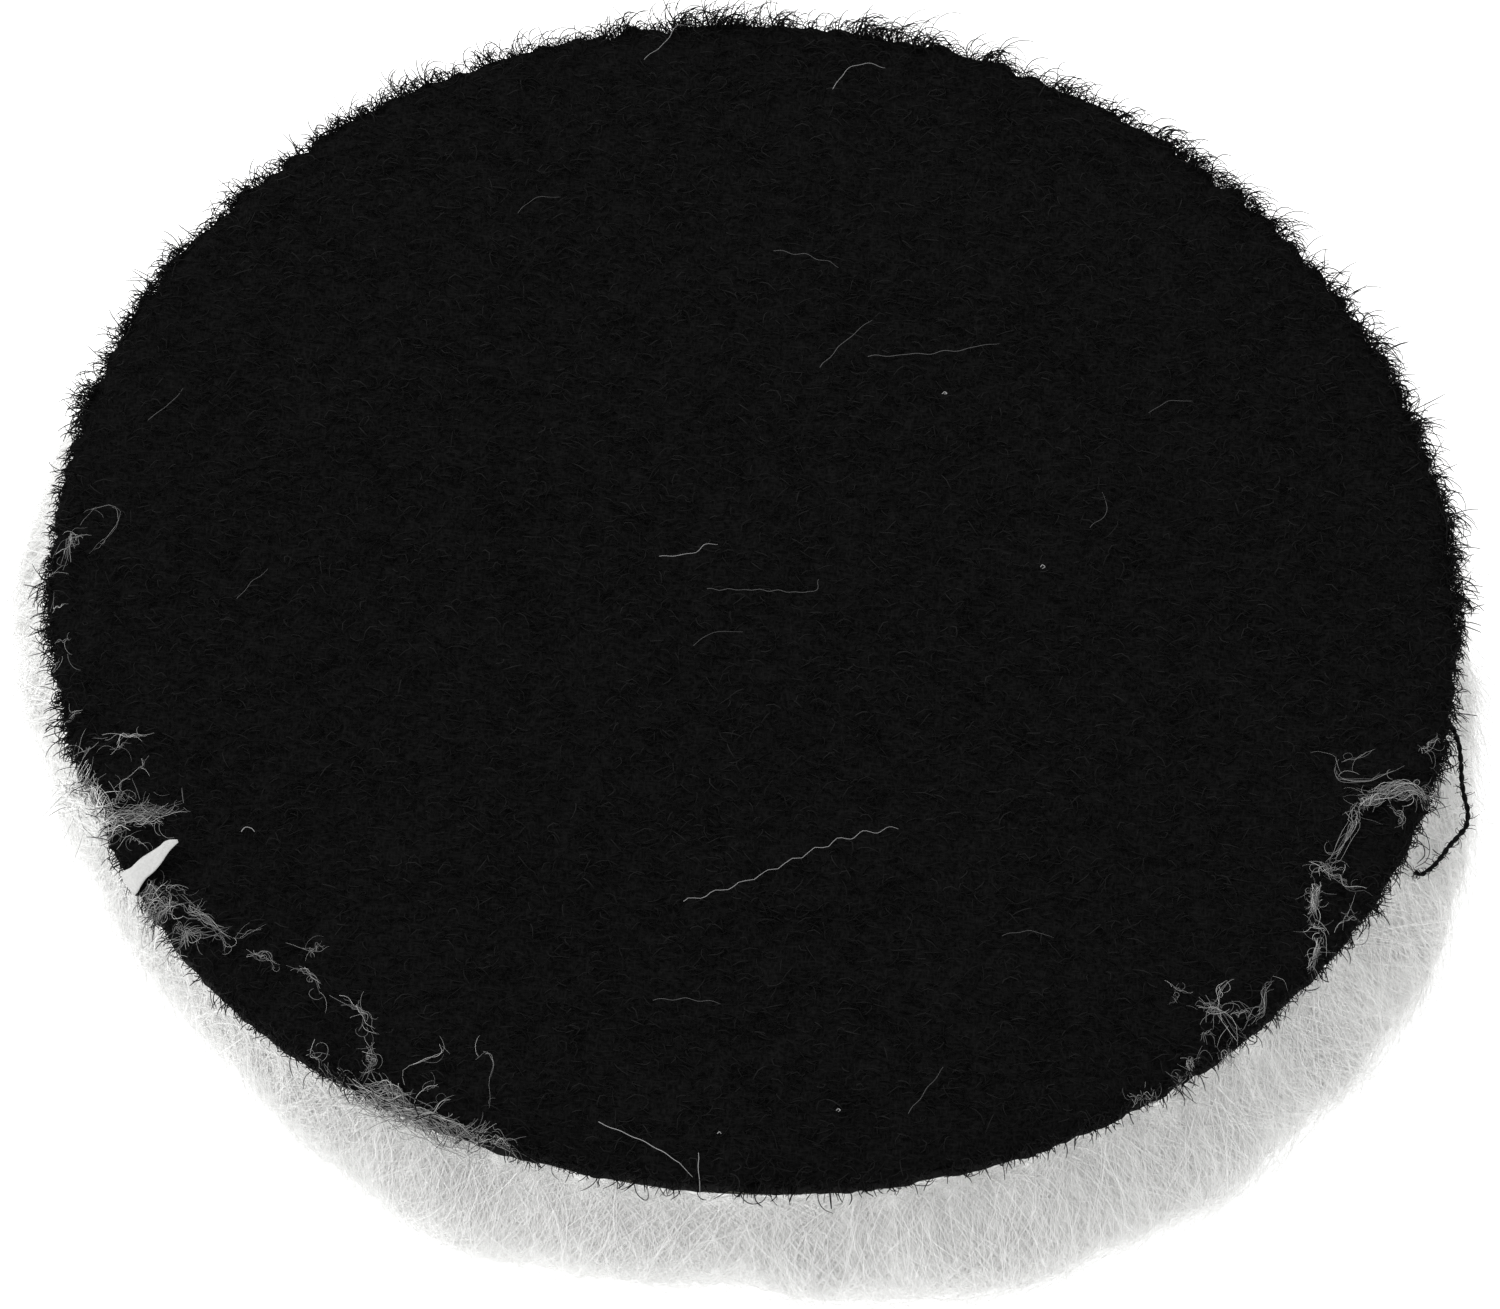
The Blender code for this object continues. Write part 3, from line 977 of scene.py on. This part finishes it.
# %% Wisps along the left rim
LEFT_WISPS = (
    # how many fibres, how far they stray and how thick they are in mm, then x, y along the route
    (14, 0.16, 0.034, -37.5, -4.1, -37.1, -2, -36.7, -1.2, -36, -0.6),
    (2, 0.05, 0.03, -37.3, -0.3, -35.7, 0.6, -34.6, 0.7, -34.5, -0.3, -35.3, -1.7, -35.9, -2.3),
    (2, 0.05, 0.04, -37.6, -6, -37, -5.9, -36.3, -5.6),
    (2, 0.05, 0.04, -37.3, -8.4, -36.7, -8.1, -36, -8.2),
    (2, 0.05, 0.034, -37.2, -9.9, -36.7, -9.4, -36, -9),
    (2, 0.05, 0.032, -36.3, -12.9, -35.5, -12.7, -34.7, -12.4),
    (3, 0.08, 0.034, -35.2, -15, -34.5, -14.8, -33.9, -14.4),
    (5, 0.09, 0.038, -33.8, -14.1, -32.8, -13.9, -32, -13.8, -31.1, -13.5),
    (3, 0.07, 0.03, -33.3, -15.1, -32.8, -14.5, -31.9, -13.7),
    (3, 0.06, 0.034, -31.1, -14.5, -31.4, -15.3, -31.7, -16, -32.8, -17.4),
    (50, 0.35, 0.036, -35.3, -15.3, -34.8, -16.2, -34.3, -17.3, -33, -19.2, -32.4, -20.1),
    (8, 0.16, 0.034, -33.2, -18.2, -32.5, -17.8, -31.9, -17.7),
    (6, 0.1, 0.036, -32.7, -18.6, -31.6, -18.3, -30.6, -17.4),
    (16, 0.16, 0.04, -32.9, -18.8, -31.5, -18.6, -30.2, -18.4, -29, -17.9),
    (16, 0.15, 0.036, -32.7, -19, -31.2, -19, -30, -18.9),
    (4, 0.1, 0.03, -32.4, -20.2, -31.4, -20.2, -30.3, -20.6),
    (8, 0.16, 0.032, -31, -23.7, -30.4, -23.2, -29.9, -22.5),
    (10, 0.16, 0.036, -31, -23.8, -30.1, -23.3, -29.3, -23.4),
    (20, 0.18, 0.042, -30.9, -24.3, -30.1, -24, -29.3, -24.1, -28.9, -24.5),
    (12, 0.18, 0.036, -30.5, -25, -29.7, -24.5, -29, -24.6),
    (3, 0.1, 0.03, -29.7, -23.3, -28.8, -23, -28.1, -23.2),
    (5, 0.12, 0.03, -28.7, -24.1, -27.9, -24.3, -27.3, -23.5),
    (14, 0.13, 0.038, -28.4, -24.4, -27.7, -24.6, -26.7, -25.2, -25.7, -26.1),
    (16, 0.16, 0.038, -29, -26.4, -28.4, -26, -27.6, -25.7, -25.9, -25.9),
    (5, 0.12, 0.03, -29.1, -25.6, -28.5, -25.4, -27.7, -25.5),
    (3, 0.07, 0.032, -25.8, -26, -25.2, -25.6, -23.8, -25),
    (7, 0.09, 0.034, -25, -26.5, -24.4, -26.8, -23.8, -26.8, -23.2, -27.6),
    (5, 0.16, 0.032, -21.7, -26.6, -21.3, -26.1, -20.6, -25.9),
    (7, 0.08, 0.036, -22.7, -27.7, -22, -27.5, -21.4, -27.9, -20.8, -29),
    (8, 0.13, 0.032, -20.3, -28.4, -19.2, -29.4, -18.4, -30.1, -17.9, -31.4),
)
WISP_STEPS = 12
WISP_TIP = 0.5
ROUTE_STEPS = 60
CRIMP_WAVELENGTH = 1.6 * MM
CRIMP_HEIGHT = 0.05 * MM
MOST_CURLS = 20

# greys, not white: a strand this thin lets the black below show through
wisp_tones = [
    new_surface("translucent_wool_strand", "#6A6A6A", 0.9, specular=0.1)[0],
    new_surface("matted_wool_strand", "#8C8C8B", 0.9, specular=0.1)[0],
    new_surface("white_wool_strand", "#B6B6B5", 0.9, specular=0.1)[0],
]


def wisp_fibres(rng, route, count, stray, thickness):
    """Centrelines (count, steps, 3) along one route, and their radii.

    Sideways, a fibre is its own distance from the route, plus a slow wave, plus the wool's crimp,
    plus a part that grows as the cube of the distance from the middle, so that the ends splay.
    """
    line = smooth_route(route, ROUTE_STEPS) * MM
    run = distance_run(line)[-1]
    ahead = unit(np.gradient(line, axis=0))
    at = np.linspace(0, 1, len(line))
    along = np.linspace(0, 1, WISP_STEPS)
    first = rng.uniform(-0.02, 0.45, (count, 1))
    last = rng.uniform(0.55, 1.02, (count, 1))
    share = first + (last - first) * along
    phase, waves = rng.random((2, count, 1))
    wave = np.sin(TURN * ((0.5 + 1.4 * waves) * along + phase))
    wander = rng.normal(0, 0.8, (count, 1)) + wave
    splay = rng.normal(0, 1.8, (count, 1)) * np.abs(2 * along - 1) ** 3
    crimp = CRIMP_HEIGHT * np.sin(TURN * (share * run / CRIMP_WAVELENGTH + waves))
    offset = stray * MM * (wander + splay) + crimp
    x = np.interp(share, at, line[:, 0]) - offset * np.interp(share, at, ahead[:, 1])
    y = np.interp(share, at, line[:, 1]) + offset * np.interp(share, at, ahead[:, 0])
    dip = 0.08 * np.sin(TURN * ((0.8 + 1.5 * phase) * along + waves))
    dip = dip + 0.12 * rng.random((count, 1))
    paths = np.stack([x, y, resting_height(x, y) + dip * MM], axis=-1)
    drawn = thickness * MM * rng.uniform(0.5, 0.95, count)
    return paths, tapered(count, WISP_STEPS, drawn, WISP_TIP)


def tangled_fibres(rng, route, count, stray, thickness):
    """Curls that leave a wisp: each starts on its route and turns steadily to its end."""
    line = smooth_route(route, ROUTE_STEPS) * MM
    start = line[rng.integers(0, len(line), count)]
    x, y = (start + rng.normal(0, 1.2 * stray * MM, (count, 2))).T
    roots = np.stack([x, y, resting_height(x, y) + rng.uniform(0.0, 0.12, count) * MM], axis=-1)
    along = np.linspace(0, 1, WISP_STEPS - 1)
    heading = rng.uniform(0, TURN, count)[:, None] + rng.normal(0, 2.4, count)[:, None] * along
    climb = 0.25 * np.sin(TURN * (along + rng.random((count, 1))))
    length = rng.uniform(0.5, 1.6, count) * MM
    paths = walk(roots, heading, climb, length[:, None] / (WISP_STEPS - 1))
    sunk = resting_height(paths[..., 0], paths[..., 1]) - resting_height(x, y)[:, None]
    paths[..., 2] += sunk
    drawn = thickness * MM * rng.uniform(0.4, 0.75, count)
    return paths, tapered(count, WISP_STEPS, drawn, WISP_TIP)


def wisp_piece(name, wisps, tones, seed):
    """Every fibre of a table of wisps, and a curl for every two fibres, up to a limit."""
    rng = np.random.default_rng(seed)
    rows = [(points_of(route, 2), *row) for *row, route in ((*w[:3], w[3:]) for w in wisps)]
    bundles = [wisp_fibres(rng, *row) for row in rows]
    bundles += [tangled_fibres(rng, route, min(1 + count // 2, MOST_CURLS), *rest)
                for route, count, *rest in rows]
    paths, radii = (np.concatenate(part) for part in zip(*bundles))
    chosen = rng.choice(3, len(paths), p=(0.45, 0.35, 0.2))
    return settle(fibre_piece(name, paths, radii, tones, chosen), "wool_pile")


left_wisps = wisp_piece("wool_wisps_left", LEFT_WISPS, wisp_tones, seed=500)
print("wisps at the left", triangles(left_wisps), "triangles")

# %% A white tuft that bulges over the left rim
LEFT_TUFT = (
    (110, 0.22, 0.034, -35.6, -15.6, -35.2, -16.4, -34.7, -17.5, -33.6, -19.2, -32.9, -20.3),
    (50, 0.2, 0.032, -34.6, -16.9, -33.9, -18, -33.3, -18.8, -32.6, -19.4),
)
left_tuft = wisp_piece("wool_tuft_left", LEFT_TUFT, wool_tones, seed=503)
print("tuft at the left", triangles(left_tuft), "triangles")

# %% Wisps along the near rim
NEAR_WISPS = (
    (10, 0.14, 0.034, -18, -31, -17.9, -32.1, -17.7, -32.9, -18.5, -34.1),
    (3, 0.06, 0.034, -21.2, -31.9, -20.7, -32.5, -20.3, -32.7),
    (5, 0.1, 0.03, -20.2, -32.6, -19.8, -33.5, -19.4, -34),
    (60, 0.24, 0.038, -20, -33.7, -17.8, -34.4, -15.4, -35.3, -12.9, -36.3, -11.7, -36.5),
    (20, 0.18, 0.04, -18.5, -33.9, -16.9, -34.1, -16.1, -34.7, -15.5, -35.5),
    (2, 0.04, 0.032, -16.1, -34.4, -16.2, -33, -14.9, -32.3, -14.3, -31.7, -14.6, -30.9,
     -15.6, -30.9),
    (2, 0.05, 0.032, -15.5, -35.1, -15, -34.2, -14.2, -33.7, -13.5, -33.5),
    (3, 0.06, 0.032, -15.4, -35.4, -14.6, -35.1, -13.9, -34.7, -13.4, -34.3),
    (3, 0.03, 0.04, -13, -32.4, -12.1, -31.7, -11.6, -32.2, -11.7, -33.9, -11.6, -35.6),
    (9, 0.14, 0.034, -13.8, -35.5, -13.2, -35.8, -12.5, -36, -11.2, -35.8),
    (12, 0.12, 0.034, -12.6, -36.3, -11.6, -36.4, -10.7, -36.6, -9.1, -37.6),
    (7, 0.12, 0.032, 21.2, -31.6, 21.6, -31.3, 22.2, -31.1, 22.5, -30.8),
    (7, 0.14, 0.032, 23.3, -30.5, 23.7, -29.9, 24, -30),
    (7, 0.12, 0.032, 23.9, -29.9, 24.1, -29.4, 24.3, -29, 24.7, -29.1),
)
near_wisps = wisp_piece("wool_wisps_near", NEAR_WISPS, wisp_tones, seed=501)
print("wisps at the near rim", triangles(near_wisps), "triangles")

# %% Wisps at the right
RIGHT_WISPS = (
    (4, 0.06, 0.034, 31.6, -9.8, 31.5, -10.7, 31.9, -11.3, 33.3, -11.2, 34, -10.7, 35.3, -10.2),
    (2, 0.05, 0.03, 31.7, -10, 32.4, -9.9, 33.2, -9.4, 33.7, -9.1),
    (26, 0.17, 0.04, 32.8, -12.8, 33.5, -12.1, 34.2, -11.6, 35, -11.3, 35.8, -11.5, 36.5, -12),
    (16, 0.22, 0.036, 33.2, -12.5, 34.4, -11.9, 35.5, -11.7, 36.4, -12.2),
    (5, 0.12, 0.03, 34.2, -12.4, 35, -13.1, 35.1, -14.1),
    (24, 0.1, 0.044, 32.9, -12.7, 33.3, -12.5, 33.9, -12.2),
    (12, 0.13, 0.034, 32.9, -12.7, 32.6, -13.5, 32.4, -14.2, 31.6, -16, 31.2, -16.6),
    (7, 0.12, 0.032, 36.3, -12.1, 36.8, -11.5, 37.1, -10.7, 36.8, -9.4),
    (5, 0.1, 0.034, 36.1, -9.5, 36.5, -8.7, 37.1, -8),
    (9, 0.14, 0.032, 30, -17.2, 30.8, -16.8, 31.5, -17, 32.2, -16.9),
    (6, 0.1, 0.032, 30.9, -16.7, 31.6, -17.3, 32.4, -18, 34.1, -18.1),
    (34, 0.09, 0.04, 30.7, -17.9, 30.5, -18.9, 30.4, -20),
    (10, 0.06, 0.038, 30.2, -20.4, 30.6, -20.6, 31.1, -20.9),
    (18, 0.08, 0.038, 30.9, -20.9, 30.7, -21.8, 30.5, -22.6, 30.3, -23.2),
    (4, 0.08, 0.034, 31.4, -20.9, 32, -20, 32.6, -19.5, 33.3, -19.3),
    (18, 0.16, 0.034, 24.4, -26, 25.1, -25.9, 25.7, -26.3, 26.7, -27.9),
    (8, 0.09, 0.034, 26.6, -27.3, 27.4, -26.2, 27.9, -25.6, 28, -24.4, 28.4, -24),
    (5, 0.1, 0.032, 25.9, -24, 25.8, -24.5, 25.5, -25.6, 25.4, -26.1),
    (3, 0.06, 0.032, 23, -24.4, 23.5, -25, 24.2, -24.9),
    (3, 0.07, 0.03, 23.6, -25.1, 23.3, -25.6, 23, -26),
    (5, 0.09, 0.032, 26.1, -26.2, 26.7, -26.1, 27.4, -26.1),
    (7, 0.12, 0.032, 26.7, -27.8, 26.3, -28.3, 25.8, -28.6),
    (3, 0.08, 0.032, 24.6, -27.8, 25, -27.5, 25.4, -27.3),
)
right_wisps = wisp_piece("wool_wisps_right", RIGHT_WISPS, wisp_tones, seed=502)
print("wisps at the right", triangles(right_wisps), "triangles")

# %% [markdown]
# ## Single hairs on the face
# A used pad picks up hairs. One is a long crimped wool fibre, one is a stiff straight hair near the
# front edge, and the rest are short and bent. They lie half sunk in the loops, so they show as
# broken lines: their height is a slow wave that takes them under the loops and out again. A crimp
# is a sine of the distance run, added square to the route.

# %% The single hairs
HAIR_STEPS = 44
PALE_FROM = 0.031 * MM
# dust dulls the fine hairs to a dark grey; the thick ones stay paler
hair_tones = [
    new_surface("dusty_grey_hair", "#565656", 0.8, specular=0.1)[0],
    new_surface("pale_hair", "#8C8C8C", 0.8, specular=0.1)[0],
]
HAIRS = (
    # crimp, its wavelength and the thickness in mm, then x, y along the route
    (0.13, 1.45, 0.034, -2.5, -21.7, 0.6, -20.2, 4.7, -17.6, 6.9, -16.6, 8.5, -16.2),
    (0, 1, 0.046, -6, -35.3, -3.3, -36.4, -1, -37.8),
    (0.02, 1, 0.034, -0.8, -36.7, -0.7, -37.7, -0.5, -38.6),
    (0.02, 1.4, 0.032, -5.2, 0.1, -3.4, 0.5, -2.8, 1.1, -2.1, 1.2),
    (0.04, 0.9, 0.03, -2.5, -1.8, 0.6, -1.6, 3.1, -1.5, 3.5, -0.7),
    (0.05, 1.6, 0.03, 2.8, 13.5, 3.9, 15.2, 5.5, 17.1),
    (0.06, 1.9, 0.03, 5.4, 14.5, 9.6, 15.2, 12.6, 16.1),
    (0.06, 1.4, 0.026, -0.2, 21.4, 1.8, 21.2, 3.5, 20.6),
    (0.03, 1.2, 0.032, -8.3, 34.4, -7.2, 35.7, -6.5, 37.1, -5.3, 37.4),
    (0.02, 1.3, 0.032, 2.5, 33.2, 3.3, 34.7, 4.3, 35.2, 5.4, 35),
    (0.04, 1.3, 0.026, -3.7, -27.8, -2, -27.6, -0.2, -27.7),
    (0.03, 1.5, 0.028, 9.8, -33.5, 10.5, -32.3, 11.5, -30.6),
    (0.03, 1.2, 0.022, -3, -5.5, -2, -4.6, -0.4, -4.4),
    (0.03, 1.4, 0.022, 18, 4, 18.9, 5.2, 18.6, 6.4),
    (0.03, 1.3, 0.028, -33.6, 6.8, -32.4, 8.2, -31.9, 9.1),
    (0.02, 1.2, 0.026, -27.6, -4.6, -26.9, -3.4, -26.1, -2.5),
    (0.04, 1.1, 0.024, 14.2, -22.4, 15.6, -22, 16.9, -22.3),
    (0.04, 1.3, 0.024, 21, 12, 22.1, 12.9, 23.4, 13),
    (0.04, 1.2, 0.024, -14.6, 22.8, -13.7, 23.9, -12.3, 24.1),
    # specks: threads rolled into a knot a quarter of a millimetre across
    (0, 1, 0.06, 9.6, 12.35, 9.75, 12.5, 9.85, 12.35, 9.7, 12.3),
    (0, 1, 0.05, 15.4, 1.15, 15.5, 1.3, 15.65, 1.2, 15.5, 1.1),
    (0, 1, 0.05, -25.9, -19.3, -25.7, -19, -25.4, -19, -25.2, -19.2),
    (0, 1, 0.055, 6.1, -33.6, 6.2, -33.5, 6.3, -33.6, 6.2, -33.7),
    (0, 1, 0.045, 0.1, -35.5, 0.2, -35.4, 0.3, -35.5),
)


def crimped(route, crimp, wavelength):
    """The smooth route with a sine of the distance run added square to it, in metres."""
    line = smooth_route(route, HAIR_STEPS)
    run = distance_run(line)
    ahead = unit(np.gradient(line, axis=0))
    sideways = crimp * np.sin(TURN * run / wavelength)[:, None]
    x, y = (line + sideways * np.stack([-ahead[:, 1], ahead[:, 0]], axis=-1)).T * MM
    sunk = 0.05 * np.sin(TURN * run / 1.3 + 7 * line[0, 0]) - 0.01
    return np.stack([x, y, resting_height(x, y) + sunk * MM], axis=-1)


def single_hairs(name):
    """All the single hairs in one piece; the thick ones are pale, the others dusty."""
    lines = np.array([crimped(points_of(hair[3:], 2), *hair[:2]) for hair in HAIRS])
    thickness = np.array([hair[2] for hair in HAIRS]) * MM
    radii = tapered(len(HAIRS), HAIR_STEPS, thickness)
    tones = (thickness > PALE_FROM).astype(int)
    return settle(fibre_piece(name, lines, radii, hair_tones, tones, sides=4), "wool_pile")


hairs = single_hairs("stray_hairs")
print("single hairs", triangles(hairs), "triangles")

# %% [markdown]
# ## A yarn pulled out of the ground cloth
# At the right rim one end of the cloth's knitting yarn has come loose and hangs over the wool. It
# is two plies twisted together, with fuzz where the nylon has broken. Each ply is a helix: the
# yarn's route plus a circle round it that turns once in every twist length, half a turn apart.

# %% Frayed yarn
YARN_ROUTE = (
    # points in mm, from the rim down over the wool
    (37.63, -5.96, 8.2), (38.04, -6.44, 7.9), (38.34, -7.25, 7.7), (38.53, -8.06, 7),
    (38.65, -8.88, 6.5), (38.85, -9.69, 6.2), (39.03, -10.38, 6), (38.94, -11.22, 5.9),
    (38.51, -11.89, 5.9), (38.01, -12.63, 6), (37.57, -13.43, 6.1), (37.08, -14.16, 6.2),
    (36.47, -14.78, 6.4), (36.13, -14.74, 6.6),
)
YARN_STEPS = 110
PLY_THICKNESS = 0.16 * MM
TWIST_LENGTH = 1.1 * MM
FUZZ_COUNT = 170


def yarn_plies(line):
    """Two helices round the line (s, 3), in the plane square to it, half a turn apart."""
    run = distance_run(line)
    ahead = unit(np.gradient(line, axis=0))
    side = unit(np.cross(ahead, (0.0, 0.0, 1.0)))
    up = np.cross(ahead, side)
    turn = TURN * run / TWIST_LENGTH + np.pi * np.arange(2)[:, None]
    offset = np.cos(turn)[..., None] * side + np.sin(turn)[..., None] * up
    return line + 0.42 * PLY_THICKNESS * offset


def yarn_fuzz(line, count, rng):
    """Short broken filaments that start on the yarn and curl away from it."""
    start = line[rng.integers(0, len(line), count)]
    along = np.linspace(0, 1, 5)
    heading = rng.uniform(0, TURN, count)[:, None] + rng.normal(0, 2.0, count)[:, None] * along
    climb = rng.normal(0, 0.7, count)[:, None] + 0 * along
    step = np.full((count, 1), 0.1 * MM) * rng.uniform(0.5, 1.6, (count, 1))
    return walk(start, heading, climb, step)


yarn_line = smooth_route(YARN_ROUTE, YARN_STEPS) * MM
plies = yarn_plies(yarn_line)
ply_radii = tapered(2, YARN_STEPS, np.full(2, PLY_THICKNESS), tip=0.8)
yarn = fibre_piece("frayed_yarn", plies, ply_radii, nylon_tones, np.array([0, 1]), sides=7)
settle(yarn, "loop_ground_cloth")
fuzz_paths = yarn_fuzz(yarn_line, FUZZ_COUNT, np.random.default_rng(600))
fuzz_radii = tapered(FUZZ_COUNT, 6, np.full(FUZZ_COUNT, 0.04 * MM))
fuzz = fibre_piece("frayed_yarn_fuzz", fuzz_paths, fuzz_radii, nylon_tones)
settle(fuzz, "loop_ground_cloth")
print(f"frayed yarn {distance_run(yarn_line)[-1] / MM:.1f} mm long")

# %% [markdown]
# ## A sliver of stiff backing
# At the left rim a white sliver has been nicked out of the backing, and stands up over the loops.
# It is a flat blade with a long tip and a short second point beside its root. Two routes, its left
# edge and its right edge, give its outline, and a thin oval is carried along between them.

# %% The sliver
SLIVER = (
    # x, y of the left edge, x, y of the right edge, height, mm, from root to tip
    (-31.69, -20.45, -30.98, -21.48, 6.7),
    (-31.9, -21.1, -31.02, -22.33, 7.4),
    (-32.04, -21.7, -31.12, -22.93, 8.4),
    (-31.73, -21.84, -30.92, -23.1, 9.1),
    (-31.41, -21.82, -30.77, -22.91, 9.4),
    (-30.98, -21.38, -30.54, -22.58, 9.6),
    (-30.49, -21.03, -30.2, -22.28, 9.75),
    (-30.04, -20.72, -29.87, -21.85, 9.9),
    (-29.81, -20.45, -29.61, -21.3, 9.95),
    (-29.51, -20.33, -29.39, -20.91, 10),
    (-29.14, -20.3, -29.07, -20.48, 10),
)
SLIVER_THICKNESS = 0.16 * MM


def blade(left, right, thickness, steps=30, sides=12):
    """Rings from root to tip: an oval from the left edge to the right one, thinner near the tip."""
    left, right = smooth_route(left, steps) * MM, smooth_route(right, steps) * MM
    middle, half = (left + right) / 2, (right - left) / 2
    ahead = unit(np.gradient(middle, axis=0))
    thick = unit(np.cross(half, ahead))
    half_thick = thickness / 2 * (1 - 0.6 * np.linspace(0, 1, steps)[:, None])
    turn = TURN * np.arange(sides) / sides
    across = np.cos(turn)[:, None] * half[:, None]
    up = np.sin(turn)[:, None] * (half_thick * thick)[:, None]
    return (middle[:, None] + across + up)[::-1]


def felted_shred():
    """Backing torn into a shred: fine noise along it leaves fibrous lights and a faint bump."""
    material, tree, _ = new_surface("torn_white_felt", "#B4B4B3", 0.9, specular=0.1)
    place = add_node(tree, "ShaderNodeTexCoord").outputs["Object"]
    fine = {"Vector": place, "Scale": 1 / (0.15 * MM), "Detail": 3.0}
    grain = add_node(tree, "ShaderNodeTexNoise", fine).outputs["Fac"]
    return paint(material, grain, "#A6A6A5", "#C2C2C1", grain, 0.04 * MM)


SLIVER_EDGES = np.array(SLIVER)
sliver_rings = blade(SLIVER_EDGES[:, [0, 1, 4]], SLIVER_EDGES[:, [2, 3, 4]], SLIVER_THICKNESS)
sliver = turned_piece("backing_sliver", sliver_rings, sliver_rings[0].mean(axis=0),
                      sliver_rings[-1].mean(axis=0), [felted_shred()])
settle(sliver, "wool_backing")
print("sliver", len(sliver.data.polygons), "faces")
